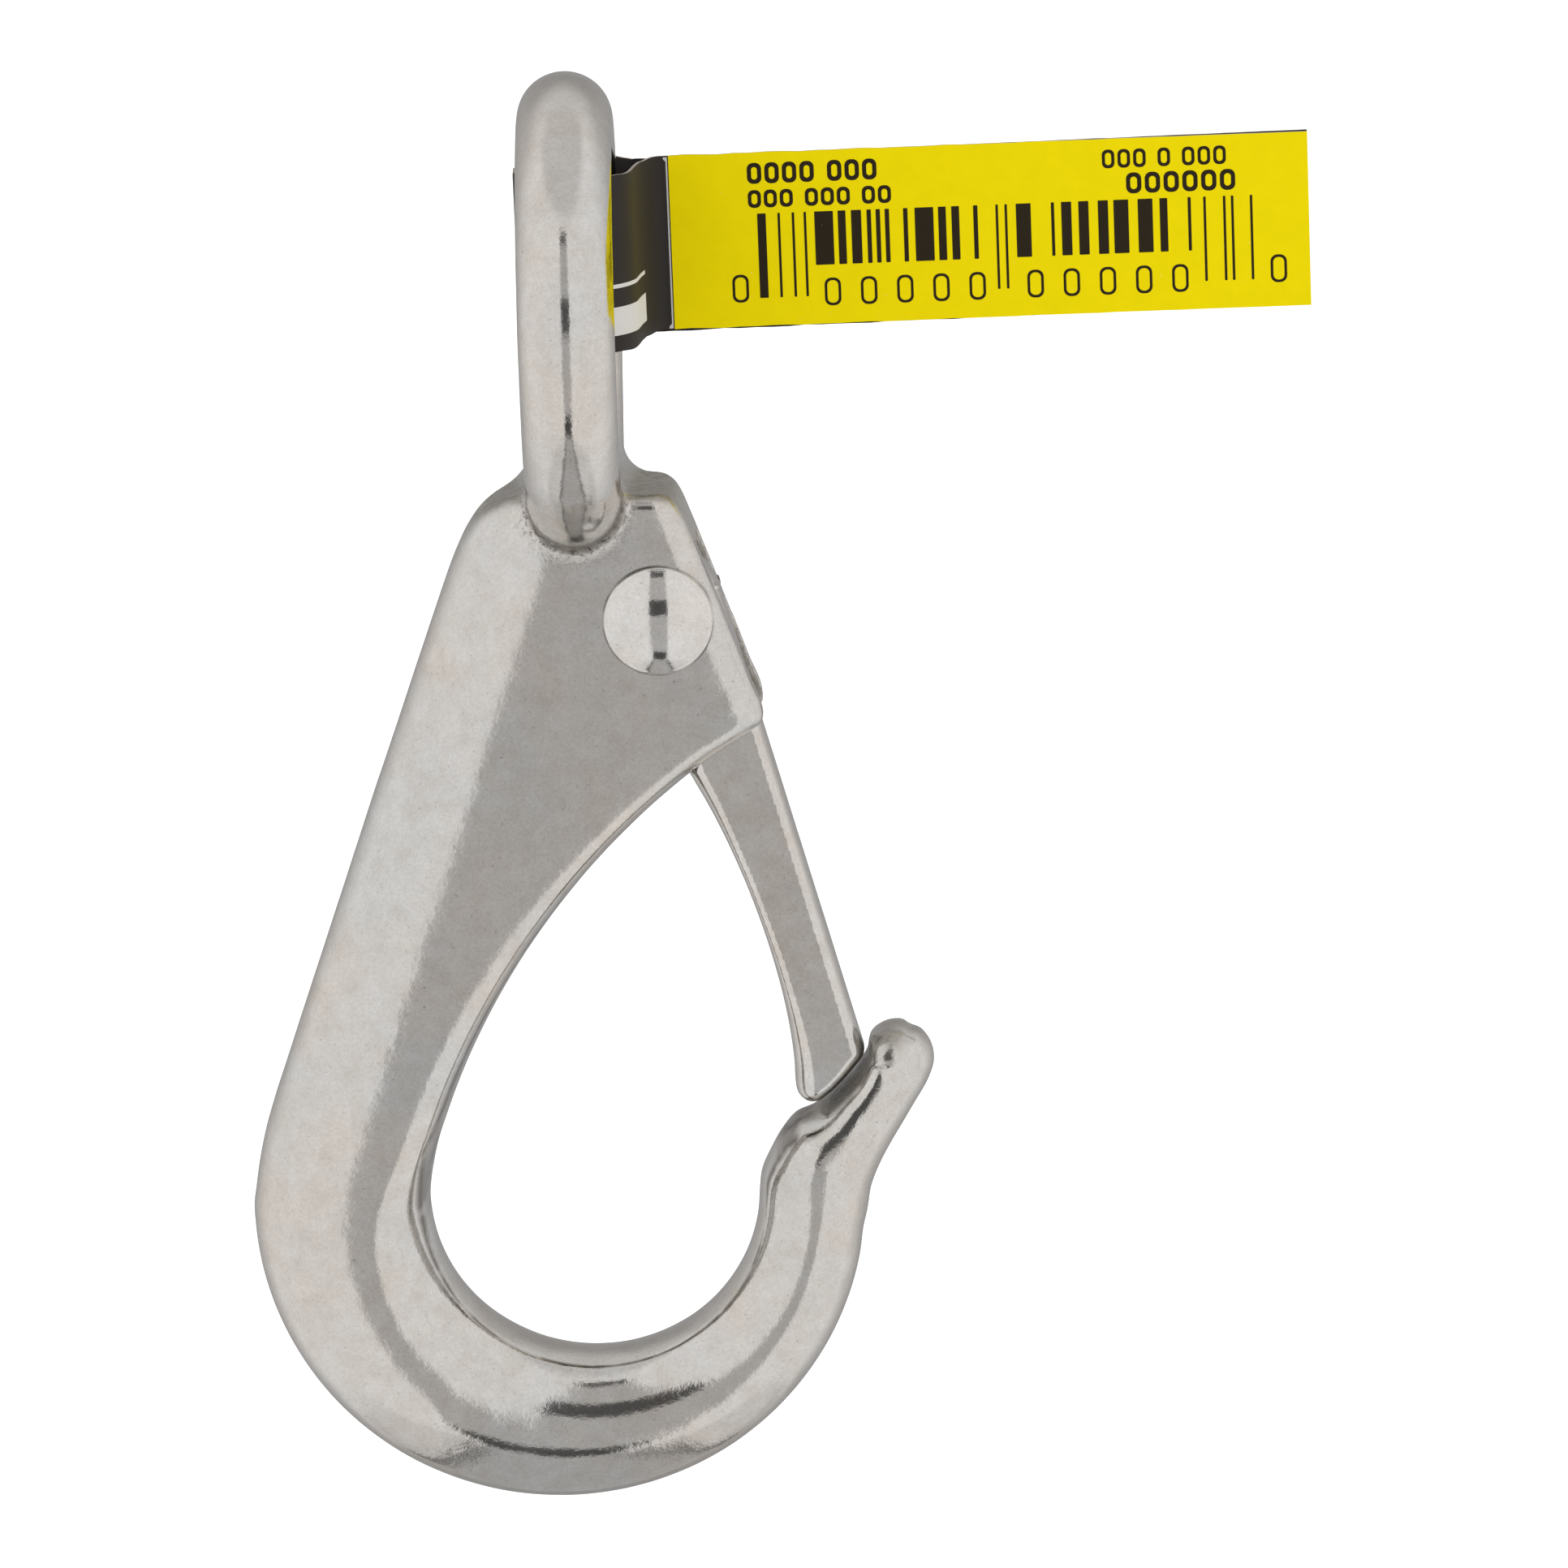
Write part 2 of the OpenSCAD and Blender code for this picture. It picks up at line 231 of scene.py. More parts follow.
# top of the head, run from right to left: a flat cut with a crisp edge
HEAD_FLOOR = -20
head_cut = Outline([
    graded([(12.6, -26.5), (8.0, -14.6), (7.45, -13.3), (6.95, -12.2), (6.3, -11.4), (5.45, -11.0)],
           (0,), (0,)),
    graded(line((4.4, HEAD_TOP), (-2.4, HEAD_TOP), 4), (0,), (0,)),
    graded([(-3.6, -11.05), (-4.9, -11.45), (-6.1, -12.2), (-7.0, -13.15), (-7.9, -14.4), (-10.5, -20.0)],
           (0,), (0,)),
])

# inside of the hook: section values are bevel width, half width and crown of the land, half thickness
CHEEK_BOTTOM = (11.45, -25.0)
EAR = (10.5, -25.35)
EAR_R = 1.0
throat = bezier([(10.95, -26.3), (-5.25, -36.35), (-10.5, -52.6), BOWL - (BOWL_R, 0)], 15)
inside = Outline([
    graded(line((5.76, -9.0), CHEEK_BOTTOM, 7), (1.75, 3.8, 0.04, HALF), (1.95, 3.7, 0.04, HALF)),
    graded(arc(EAR, EAR_R, 10, -50, 5), (1.95, 3.7, 0.06, HALF), (1.6, 3.5, 0.15, HALF)),
    graded(throat[1:12], (1.45, 3.4, 0.25, HALF), (1.9, 2.9, 0.34, HALF)),
    graded(throat[12:], (2.0, 2.7, 0.36, HALF), (3.4, 2.5, 0.42, HALF)),
    graded(arc(BOWL, BOWL_R, 187, 229, 6), (4.1, 2.5, 0.45, HALF), (6.0, 2.7, 0.45, 4.95)),
    graded(arc(BOWL, BOWL_R, 236, 297, 8), (6.2, 2.75, 0.45, 4.9), (5.2, 2.7, 0.45, 4.1)),
    graded(arc(BOWL, BOWL_R, 304, 359, 8), (5.0, 2.6, 0.45, 4.1), (3.8, 2.5, 0.42, 4.3)),
    graded([(10.5, -55.75), (11.1, -54.4), (11.9, -53.0), (12.75, -52.0)],
           (3.4, 2.4, 0.4, 4.3), (2.3, 2.1, 0.35, 4.2)),
    graded([(13.9, -51.5), (15.2, -50.35), (16.5, -49.0)], (1.9, 2.0, 0.3, 4.0), (1.5, 1.8, 0.25, 3.4)),
    graded(arc(NOSE, NOSE_R, 152, 62, 7), (1.6, 1.6, 0.2, 3.2), (1.6, 1.6, 0.15, 2.75)),
])

# the two rounded lower corners of the gate, and the groove in the nose that they close into
TIP_CORNER, TIP_R = (16.35, -47.75), 0.95
TOE_CORNER, TOE_R = (13.95, -50.0), 1.1
SEAT_GAP = 0.14
SEAT_MIDDLE, SEAT_REACH = (14.6, -49.4), 4.4
LEAD_IN = 16
toe_low = polar(TOE_CORNER, TOE_R + SEAT_GAP, -90 + LEAD_IN)
lead_end = toe_low - 3.2 * np.array([math.cos(math.radians(LEAD_IN)), math.sin(math.radians(LEAD_IN))])
seat = Outline([
    graded([lead_end, toe_low], (0,), (0,)),
    graded(arc(TOE_CORNER, TOE_R + SEAT_GAP, -90 + LEAD_IN, -45, 3)[1:], (0,), (0,)),
    graded(arc(TIP_CORNER, TIP_R + SEAT_GAP, -45, GATE_SLOPE, 5), (0,), (0,)),
    graded([polar(TIP_CORNER, TIP_R + SEAT_GAP, GATE_SLOPE) - 3 * GATE_DOWN], (0,)),
], step=0.1)

# softness of the ridges between the rounded faces, and the rise that makes up for what softening takes off
RIDGE = 0.7
LIFT = RIDGE / 4 - 0.012


def on_plane(p, outline):
    """The outline's distance and section values at points p; a block of points is done for one layer only."""
    x, z = (p[0][:, 0, :], p[2][:, 0, :]) if p[0].ndim == 3 else (p[0], p[2])
    distance, values = outline.query(x, z)
    if p[0].ndim == 3:
        return distance[:, None, :], [v[:, None, :] for v in values]
    return distance, values


def bevel_reach(b, e, c, t):
    """Half width of the bevel's ellipse, so that it meets the edge of the land at half width e."""
    return (b - c) / np.sqrt(1 - np.minimum(e / t, 0.93) ** 2)


def forging_parts(p):
    """The fields of the back rounding, inner bevel and inner land, all at the points p."""
    y = np.abs(p[1])
    d_back, (w, t) = on_plane(p, back)
    d_in, (b, e, c, t_in) = on_plane(p, inside)
    d_in = -d_in
    t, t_in = t + LIFT, t_in + LIFT
    outer = t * (np.sqrt((np.maximum(w - d_back, 0) / w) ** 2 + (y / t) ** 2) - 1)
    reach = bevel_reach(b, e, c, t_in)
    bevel = t_in * (np.sqrt((np.maximum(b - d_in, 0) / reach) ** 2 + (y / t_in) ** 2) - 1)
    land = c * (y / e) ** 2 - d_in
    return outer, bevel, land


def gaussian(count, width):
    i = np.arange(count)
    weight = np.exp(-0.5 * ((i[:, None] - i[None]) / width) ** 2)
    return weight / weight.sum(1, keepdims=True)


class Polish:
    """How much hand polishing lowers the ridges where the rounded faces meet, on a grid in X and Z."""

    STEP = 0.15
    WIDTH = 0.55

    def __init__(self):
        self.low = np.array([body_low[0] - 1, body_low[2] - 1])
        xs = np.arange(self.low[0], body_high[0] + 1, self.STEP)
        zs = np.arange(self.low[1], HEAD_TOP + 2, self.STEP)
        x, z = np.meshgrid(xs, zs, indexing="ij")
        d_back, (w, t) = back.query(x, z)
        d_in, (b, e, c, t_in) = inside.query(x, z)
        d_in = -d_in
        t, t_in = t + LIFT, t_in + LIFT
        back_face = t * np.sqrt(1 - np.clip((w - d_back) / w, 0, 1) ** 2)
        bevel_face = t_in * np.sqrt(1 - np.clip((b - d_in) / bevel_reach(b, e, c, t_in), 0, 1) ** 2)
        face = smooth_min(back_face, bevel_face, RIDGE)
        blur = self.WIDTH / self.STEP
        soft = gaussian(len(xs), blur) @ face @ gaussian(len(zs), blur).T
        share = np.clip((np.minimum(d_back, d_in) - 0.8) / 1.4, 0, 1)
        self.drop = (face - soft) * share * share * (3 - 2 * share)

    def at(self, x, z):
        i, j = (x - self.low[0]) / self.STEP, (z - self.low[1]) / self.STEP
        i = np.clip(i, 0, self.drop.shape[0] - 1.001)
        j = np.clip(j, 0, self.drop.shape[1] - 1.001)
        a, b = i.astype(int), j.astype(int)
        i, j = i - a, j - b
        near = self.drop[a, b] * (1 - i) + self.drop[a + 1, b] * i
        far = self.drop[a, b + 1] * (1 - i) + self.drop[a + 1, b + 1] * i
        return near * (1 - j) + far * j


polish = Polish()


def ring_field(p):
    x, y, z = p
    return np.hypot(np.hypot(y, z) - RING_R, x) - BAR_R


def slot_field(p):
    return box_field(p, (SLOT_LEFT, -SLOT_HALF, SLOT_FLOOR), (SLOT_RIGHT, SLOT_HALF, SLOT_ROOF))


def body_field(p):
    x, y, z = p
    outer, bevel, land = forging_parts(p)
    solid = smooth_max(outer, smooth_max(bevel, land, 0.12), RIDGE) + polish.at(x, z)
    solid = solid + 0.024 + 0.012 * waves(p, 7, 3) + 0.006 * waves(p, 2.6, 5)
    top = np.where(z > HEAD_FLOOR, -on_plane(p, head_cut)[0], -9.0) + 0.02 * waves(p, 2.2, 8)
    solid = smooth_max(solid, top, 0.8)
    solid = smooth_max(solid, -slot_field(p), 0.2)
    near_seat = np.hypot(x - SEAT_MIDDLE[0], z - SEAT_MIDDLE[1]) - SEAT_REACH
    solid = smooth_max(solid, -np.maximum(-on_plane(p, seat)[0], near_seat), 0.8)
    bore = np.hypot(x - PIVOT[0], z - PIVOT[1]) - (RIVET_R + 0.02)
    solid = np.maximum(solid, -bore)
    ring = ring_field(p) + 0.02 + 0.016 * waves(p, 5, 11)
    return smooth_min(solid, ring, 1.5 + 0.7 * np.clip(y / 5, -1, 1))


# ---------- from a field to a mesh ----------
def meshed(field, low, high, voxel):
    """Quads around the field's zero surface, with their points moved onto it."""
    low = np.array(low, float) - 2 * voxel
    count = np.ceil((np.array(high, float) + 2 * voxel - low) / voxel).astype(int) + 1
    axes = [low[i] + voxel * np.arange(count[i]) for i in range(3)]
    values = field(np.meshgrid(*axes, indexing="ij"))
    grid = openvdb.FloatGrid(3 * voxel)
    grid.copyFromArray(np.clip(values, -3 * voxel, 3 * voxel).astype(np.float32))
    points, quads = grid.convertToQuads(0.0)
    points = np.array(points, float) * voxel + low
    step = 0.01
    for _ in range(3):
        value = field(points.T)
        slope = np.empty_like(points)
        for i in range(3):
            shifted = points.copy()
            shifted[:, i] += step
            slope[:, i] = (field(shifted.T) - value) / step
        square = np.maximum((slope ** 2).sum(1), 0.05)
        move = -slope * (value / square)[:, None]
        points += np.clip(move, -voxel / 2, voxel / 2)
    return points, np.array(quads)[:, ::-1]


def piece(name, points, faces, material, sharp_degrees=None):
    mesh = bpy.data.meshes.new(name)
    mesh.from_pydata((np.array(points) * MM).tolist(), [], [list(map(int, f)) for f in faces])
    mesh.validate()
    mesh.shade_smooth()
    made = bpy.data.objects.new(name, mesh)
    bpy.context.scene.collection.objects.link(made)
    for m in material if isinstance(material, list) else [material]:
        mesh.materials.append(m)
    if sharp_degrees:
        mesh.set_sharp_from_angle(angle=math.radians(sharp_degrees))
    return made


# ---------- materials ----------
def shader(name, base, metallic, roughness):
    material = bpy.data.materials.new(name)
    material.use_nodes = True
    tree = material.node_tree
    surface = tree.nodes["Principled BSDF"]
    surface.inputs["Base Color"].default_value = (*base, 1)
    surface.inputs["Metallic"].default_value = metallic
    surface.inputs["Roughness"].default_value = roughness
    return material, tree, surface


def node(tree, kind, **inputs):
    made = tree.nodes.new(kind)
    for key, value in inputs.items():
        made.inputs[key.replace("_", " ")].default_value = value
    return made


def noise(tree, place, scale, detail=4.0, roughness=0.55):
    made = node(tree, "ShaderNodeTexNoise", Scale=scale, Detail=detail, Roughness=roughness)
    tree.links.new(place, made.inputs["Vector"])
    return made.outputs["Fac"]


def ramp(tree, value, *stops):
    """Colour from a value: each stop is (position, grey or colour)."""
    made = tree.nodes.new("ShaderNodeValToRGB")
    tree.links.new(value, made.inputs["Fac"])
    elements = made.color_ramp.elements
    for i, (position, colour) in enumerate(stops):
        colour = (colour,) * 3 if isinstance(colour, (int, float)) else colour
        element = elements[i] if i < 2 else elements.new(position)
        element.position = position
        element.color = (*colour, 1)
    return made.outputs["Color"]


def mixed(tree, mode, factor, a, b):
    made = tree.nodes.new("ShaderNodeMix")
    made.data_type = "RGBA"
    made.blend_type = mode
    for socket, value in ((made.inputs["Factor"], factor), (made.inputs["A"], a), (made.inputs["B"], b)):
        if isinstance(value, bpy.types.NodeSocket):
            tree.links.new(value, socket)
        elif isinstance(value, tuple):
            socket.default_value = (*value, 1)
        else:
            socket.default_value = value
    return made.outputs["Result"]


def maths(tree, operation, a, b=0.0, clamp=False):
    made = tree.nodes.new("ShaderNodeMath")
    made.operation = operation
    made.use_clamp = clamp
    for socket, value in zip(made.inputs, (a, b)):
        if isinstance(value, bpy.types.NodeSocket):
            tree.links.new(value, socket)
        else:
            socket.default_value = value
    return made.outputs[0]


def node_attribute(tree, name):
    made = tree.nodes.new("ShaderNodeAttribute")
    made.attribute_name = name
    return made.outputs["Fac"]


def rivet_contact_shade(tree, place, patchy):
    """A thin uneven line of painted shade on the cheek along the edge of the rivet head, where its rim meets
    the cheek.
    """
    split = tree.nodes.new("ShaderNodeSeparateXYZ")
    tree.links.new(place, split.inputs[0])
    across = maths(tree, "SUBTRACT", split.outputs["X"], PIVOT[0] * MM)
    along = maths(tree, "SUBTRACT", split.outputs["Z"], PIVOT[1] * MM)
    square = maths(tree, "ADD", maths(tree, "POWER", across, 2), maths(tree, "POWER", along, 2))
    reach = maths(tree, "SQRT", square)
    off = maths(tree, "ABSOLUTE", maths(tree, "SUBTRACT", reach, (FRONT_HEAD_R + 0.04) * MM))
    shade_share = maths(tree, "SUBTRACT", 1.0, maths(tree, "DIVIDE", off, 0.12 * MM), clamp=True)
    return maths(tree, "MULTIPLY", shade_share, patchy)


def steel(name, base, roughness, grain, body=False):
    """Hand-polished cast steel: fine grain, small pits and faint brown clouds; the body has brown stains on
    top, painted shade lines along the land's edge and round the rivet head, and painted shade in the seat,
    slot and ring root.
    """
    material, tree, surface = shader(name, base, 1.0, roughness)
    place = tree.nodes.new("ShaderNodeTexCoord").outputs["Object"]
    mottle = ramp(tree, noise(tree, place, 620, 5, 0.72),
                  (0.32, (0.89, 0.865, 0.84)), (0.62, (1.0, 1.0, 1.0)))
    cloud = ramp(tree, noise(tree, place, 110, 4, 0.6),
                 (0.36, (1.0, 0.965, 0.94)), (0.62, (0.965, 0.98, 1.0)))
    spots = ramp(tree, noise(tree, place, 3900, 2, 0.6), (0.23, 0.62), (0.33, 1.0))
    grit = ramp(tree, noise(tree, place, 5200, 3, 0.7), (0.3, 0.90), (0.7, 1.06))
    colour = mixed(tree, "MULTIPLY", 1.0, base, mottle)
    for layer in (cloud, spots, grit):
        colour = mixed(tree, "MULTIPLY", 1.0, colour, layer)
    height = maths(tree, "MULTIPLY", noise(tree, place, 420, 3), 2.0)
    height = maths(tree, "ADD", height, noise(tree, place, 1500, 3, 0.6))
    height = maths(tree, "ADD", height, maths(tree, "MULTIPLY", noise(tree, place, 5200, 2, 0.7), 0.45))
    if body:
        weld, stain_and_shade, line = (node_attribute(tree, n) for n in ("weld", "stain_and_shade", "edge"))
        # painted shade: a thin dark line along the land's edge, where that edge is seen edge-on
        off = maths(tree, "DIVIDE", maths(tree, "ABSOLUTE", line), 0.075)
        land_edge_shade = maths(tree, "SUBTRACT", 1.0, off, clamp=True)
        patchy = ramp(tree, noise(tree, place, 500, 2), (0.36, 0.15), (0.56, 0.85))
        colour = mixed(tree, "MIX", maths(tree, "MULTIPLY", land_edge_shade, patchy), colour, (0.09, 0.075, 0.06))
        # real brown stains on the head top and nose, together with painted shade in the seat, slot and ring
        # root; all of it is drawn olive and non-metallic
        ragged = ramp(tree, noise(tree, place, 1300, 5, 0.7), (0.33, 0.55), (0.6, 1.0))
        olive = ramp(tree, noise(tree, place, 1900, 4, 0.7),
                     (0.35, (0.06, 0.05, 0.036)), (0.62, (0.22, 0.19, 0.14)))
        dirt_and_shade = maths(tree, "MULTIPLY", stain_and_shade, ragged)
        colour = mixed(tree, "MIX", dirt_and_shade, colour, olive)
        tree.links.new(maths(tree, "SUBTRACT", 1.0, dirt_and_shade, clamp=True), surface.inputs["Metallic"])
        surface.inputs["Specular IOR Level"].default_value = 0.1
        beads = noise(tree, place, 2500, 4, 0.75)
        coarse = maths(tree, "ADD", weld, maths(tree, "MULTIPLY", stain_and_shade, 0.3))
        rough = maths(tree, "MULTIPLY", maths(tree, "MULTIPLY", beads, coarse), 16.0)
        height = maths(tree, "ADD", height, rough)
        pit = ramp(tree, noise(tree, place, 2700, 3, 0.75), (0.36, 1.0), (0.50, 0.0))
        colour = mixed(tree, "MIX", maths(tree, "MULTIPLY", weld, pit), colour, (0.10, 0.085, 0.075))
        # painted shade: a dark contact line round the rivet head
        colour = mixed(tree, "MIX", rivet_contact_shade(tree, place, patchy), colour, (0.12, 0.11, 0.10))
    tree.links.new(colour, surface.inputs["Base Color"])
    spread = ramp(tree, noise(tree, place, 150, 4), (0.3, roughness * 0.8), (0.7, roughness * 1.3))
    tree.links.new(spread, surface.inputs["Roughness"])
    bump = node(tree, "ShaderNodeBump", Strength=grain, Distance=0.00002)
    tree.links.new(height, bump.inputs["Height"])
    tree.links.new(bump.outputs["Normal"], surface.inputs["Normal"])
    return material


body_steel = steel("body_steel", (0.70, 0.69, 0.665), 0.11, 0.55, body=True)
gate_steel = steel("gate_steel", (0.72, 0.71, 0.685), 0.10, 0.45)
rivet_steel = steel("rivet_steel", (0.76, 0.75, 0.725), 0.08, 0.3)
spring_steel = steel("spring_steel", (0.55, 0.55, 0.56), 0.22, 0.3)


def card(name, colour, roughness, flecks, fleck_colour, painted_glow=0.0):
    """Printed film on card: slight unevenness of the ink, a few worn flecks and a dull surface, with an
    optional painted glow in the ink's own colour.
    """
    material, tree, surface = shader(name, colour, 0.0, roughness)
    place = tree.nodes.new("ShaderNodeTexCoord").outputs["Object"]
    ink = ramp(tree, noise(tree, place, 700, 4, 0.6), (0.3, 0.955), (0.7, 1.0))
    tint = mixed(tree, "MULTIPLY", 1.0, colour, ink)
    worn = ramp(tree, noise(tree, place, 2600, 2, 0.5), (0.20, flecks), (0.25, 0.0))
    tint = mixed(tree, "MIX", worn, tint, fleck_colour)
    tree.links.new(tint, surface.inputs["Base Color"])
    tree.links.new(tint, surface.inputs["Emission Color"])
    surface.inputs["Emission Strength"].default_value = painted_glow
    bump = node(tree, "ShaderNodeBump", Strength=0.25, Distance=0.00002)
    tree.links.new(noise(tree, place, 1400, 3), bump.inputs["Height"])
    tree.links.new(bump.outputs["Normal"], surface.inputs["Normal"])
    surface.inputs["Specular IOR Level"].default_value = 0.08
    return material


# the yellow ink carries a painted glow that flattens its shading
yellow_ink = card("tag_yellow", (0.80, 0.655, 0.0), 0.7, 0.3, (0.8, 0.75, 0.4), painted_glow=0.26)
black_ink = card("tag_black", (0.040, 0.036, 0.034), 0.5, 0.4, (0.2, 0.19, 0.17))
print_ink = card("tag_print", (0.030, 0.022, 0.012), 0.6, 0.3, (0.5, 0.42, 0.05))
white_ink = card("tag_white", (0.80, 0.79, 0.77), 0.6, 0.3, (0.5, 0.5, 0.48))
paper_core = card("tag_core", (0.50, 0.46, 0.41), 0.9, 0.6, (0.22, 0.19, 0.16))


# ---------- hook body ----------
def set_values(made, name, values):
    attribute = made.data.attributes.new(name, "FLOAT", "POINT")
    attribute.data.foreach_set("value", np.asarray(values, np.float32))


points, quads = meshed(body_field, body_low, body_high, VOXEL)
hook = piece("hook_polished", points, quads, body_steel)
x, y, z = points.T
outer, bevel, land = forging_parts(points.T)
ring = ring_field(points.T)
on_land = (np.minimum(np.abs(bevel), np.abs(land)) < 0.4) & (np.abs(y) < 4.4)
# where the shader draws the painted shade line along the land's edge, the weld-like beads, the brown stains
# and the painted shade in the seat, slot and ring root
set_values(hook, "edge", np.where(on_land & (z < -14), land - bevel, 1.0))
below_ring = np.maximum(outer, bevel)
root = np.exp(-((np.abs(ring) + np.abs(below_ring)) / 0.75) ** 2)
set_values(hook, "weld", root * (y < -3.5))
head_top = np.exp(-(head_cut.query(x, z)[0] / 0.3) ** 2) * (z > -14) * (ring > 0.3) * 0.85
by_seat = np.hypot(x - 15.4, z + 49.0) < 4.0
# painted shadow of the gate on the nose's seat
painted_seat_shadow = np.exp(-(np.minimum(np.abs(seat.query(x, z)[0]), 3) / 0.35) ** 2) * by_seat
# painted shade inside the slot
painted_slot_shade = (slot_field(points.T) < 0.15) * 0.7
# painted shade on the ring just above its root
painted_ring_root_shade = np.exp(-((below_ring - 0.4) / 0.8) ** 2) * (np.abs(ring) < 0.3) * (y < -5) * 0.8
nose_top = np.exp(-(np.hypot(x - NOSE[0] + 0.4, z - NOSE[1] - 2.0) / 0.9) ** 2) * 0.6
# real brown stains and painted shade, added together
set_values(hook, "stain_and_shade", np.clip(head_top + painted_seat_shadow + painted_slot_shade + painted_ring_root_shade + nose_top, 0, 1))
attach(hook, "hook")
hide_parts("hook_body")


# ---------- gate ----------
# edge of the gate, run clockwise from its root; the section value is the rounding width
gate_edge = Outline([
    graded(line(polar(PIVOT, GATE_ROOT_R, GATE_SLOPE),
                polar(TIP_CORNER, TIP_R, GATE_SLOPE) - 0.1 * GATE_DOWN, 6), (0.6,), (0.6,), (0.7,)),
    graded(arc(TIP_CORNER, TIP_R, GATE_SLOPE, -45, 5), (0.7,), (0.75,)),
    graded(arc(TOE_CORNER, TOE_R, -45, -180, 8), (0.8,), (1.2,)),
    graded(bezier([(12.85, -50.0), (12.85, -44.2), (10.2, -35.8), (6.9, -30.0)], 12)[1:],
           (1.15,), (0.7,), (0.45,), (0.55,), (0.95,)),
    graded([(6.5, -29.2), (6.45, -28.3), (6.2, -27.2), (5.2, -25.6)], (1.0,), (0.8,)),
    graded(arc(PIVOT, GATE_ROOT_R, 222, GATE_SLOPE, 16), (0.6,), (0.6,)),
], step=0.15)


def gate_field(p):
    x, y, z = p
    d, (w,) = on_plane(p, gate_edge)
    t = GATE_HALF - 0.01
    solid = t * (np.sqrt((np.maximum(w + d, 0) / w) ** 2 + (np.abs(y) / t) ** 2.4) - 1)
    solid = solid + 0.012 + 0.01 * waves(p, 6, 21)
    r = np.hypot(x - PIVOT[0], z - PIVOT[1])
    pocket = np.maximum(r - 3.1, np.abs(y) - 1.55)
    return np.maximum(np.maximum(solid, RIVET_R + 0.06 - r), -pocket)


points, quads = meshed(gate_field, gate_low, gate_high, VOXEL * 0.75)
gate = piece("gate_polished", points, quads, gate_steel)
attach(gate, "gate_arm")
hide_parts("gate")


# ---------- rivet ----------
def lathe(profile, centre, steps):
    """Turns (y, radius) rows about the Y direction through centre; both ends lie on the axis."""
    points, faces = [], []
    for y, r in profile[1:-1]:
        for i in range(steps):
            a = 2 * math.pi * i / steps
            points.append((centre[0] + r * math.cos(a), y, centre[1] + r * math.sin(a)))
    rows = len(profile) - 2
    for k in range(rows - 1):
        for i in range(steps):
            j = (i + 1) % steps
            faces.append((k * steps + i, k * steps + j, (k + 1) * steps + j, (k + 1) * steps + i))
    for y, k in ((profile[0][0], 0), (profile[-1][0], rows - 1)):
        points.append((centre[0], y, centre[1]))
        for i in range(steps):
            j = (i + 1) % steps
            fan = (len(points) - 1, k * steps + j, k * steps + i)
            faces.append(fan if k == 0 else fan[::-1])
    return points, faces


def dome_rows(base, ball_r, head_r, rim, side, count):
    """Rows from the crown of a domed head to its rim and under it; side is -1 in front and 1 behind."""
    height = ball_r - math.sqrt(ball_r ** 2 - head_r ** 2)
    edge = 0.12
    rows = []
    top = math.asin((head_r - edge) / ball_r)
    for i in range(count + 1):
        a = top * i / count
        rows.append((base + side * (rim + height - ball_r + ball_r * math.cos(a)), ball_r * math.sin(a)))
    y_rim = rows[-1][0]
    for a in (30, 60, 90):
        rows.append((y_rim - side * edge * (1 - math.cos(math.radians(a))),
                     head_r - edge + edge * math.sin(math.radians(a))))
    rows.append((base + side * 0.06, head_r))
    rows.append((base, head_r - 0.06))
    return rows


REAR_HEAD_R = 2.8
front = dome_rows(-HALF - 0.03, 6.7, FRONT_HEAD_R, 0.22, -1, 22)
rear = dome_rows(HALF + 0.03, 5.2, REAR_HEAD_R, 0.18, 1, 14)
profile = front + [(-HALF - 0.03, RIVET_R + 0.05), (-HALF, RIVET_R), (HALF, RIVET_R),
                   (HALF + 0.03, RIVET_R + 0.05)] + rear[::-1]
points, faces = lathe(profile, PIVOT, 96)
rivet = piece("rivet_domed", points, faces, rivet_steel, 35)
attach(rivet, "hook")
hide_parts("rivet")


# ---------- gate spring ----------
def tube(path, radius, sides):
    path = np.array(path, float)
    points, faces = [], []
    up = np.array([0.0, 1.0, 0.0])
    for i, c in enumerate(path):
        run = path[min(i + 1, len(path) - 1)] - path[max(i - 1, 0)]
        run /= np.linalg.norm(run)
        a = up - run * np.dot(up, run)
        a /= np.linalg.norm(a)
        b = np.cross(run, a)
        for k in range(sides):
            t = 2 * math.pi * k / sides
            points.append(c + radius * (math.cos(t) * a + math.sin(t) * b))
    for i in range(len(path) - 1):
        for k in range(sides):
            j = (k + 1) % sides
            faces.append((i * sides + k, (i + 1) * sides + k, (i + 1) * sides + j, i * sides + j))
    faces.append(tuple(range(sides)))
    faces.append(tuple(reversed(range(len(points) - sides, len(points)))))
    return points, faces


WIRE_R = 0.3
COIL_R = RIVET_R + 0.06 + 0.25 + WIRE_R
COIL_PITCH = 2 * WIRE_R + 0.08
COIL_START = 90
COIL_END = COIL_START + 3 * 360 + 90 + GATE_SLOPE
COIL_STEPS = 180
LEG_TO_GATE = 4.6
coil = []
for i in range(COIL_STEPS + 1):
    a = COIL_START + (COIL_END - COIL_START) * i / COIL_STEPS
    x, z = polar(PIVOT, COIL_R, a)
    coil.append((x, COIL_PITCH * (a - (COIL_START + COIL_END) / 2) / 360, z))
leg_back = np.array(coil[0]) - (PIVOT[0] - SLOT_LEFT - WIRE_R, 0, 0)
leg_gate = np.array(coil[-1]) + LEG_TO_GATE * np.array([GATE_DOWN[0], 0, GATE_DOWN[1]])
path = line(leg_back, coil[0], 6)[:-1] + [np.array(c) for c in coil] + line(coil[-1], leg_gate, 6)[1:]
points, faces = tube(path, WIRE_R - 0.01, 12)
spring = piece("gate_spring_wire", points, faces, spring_steel, 50)
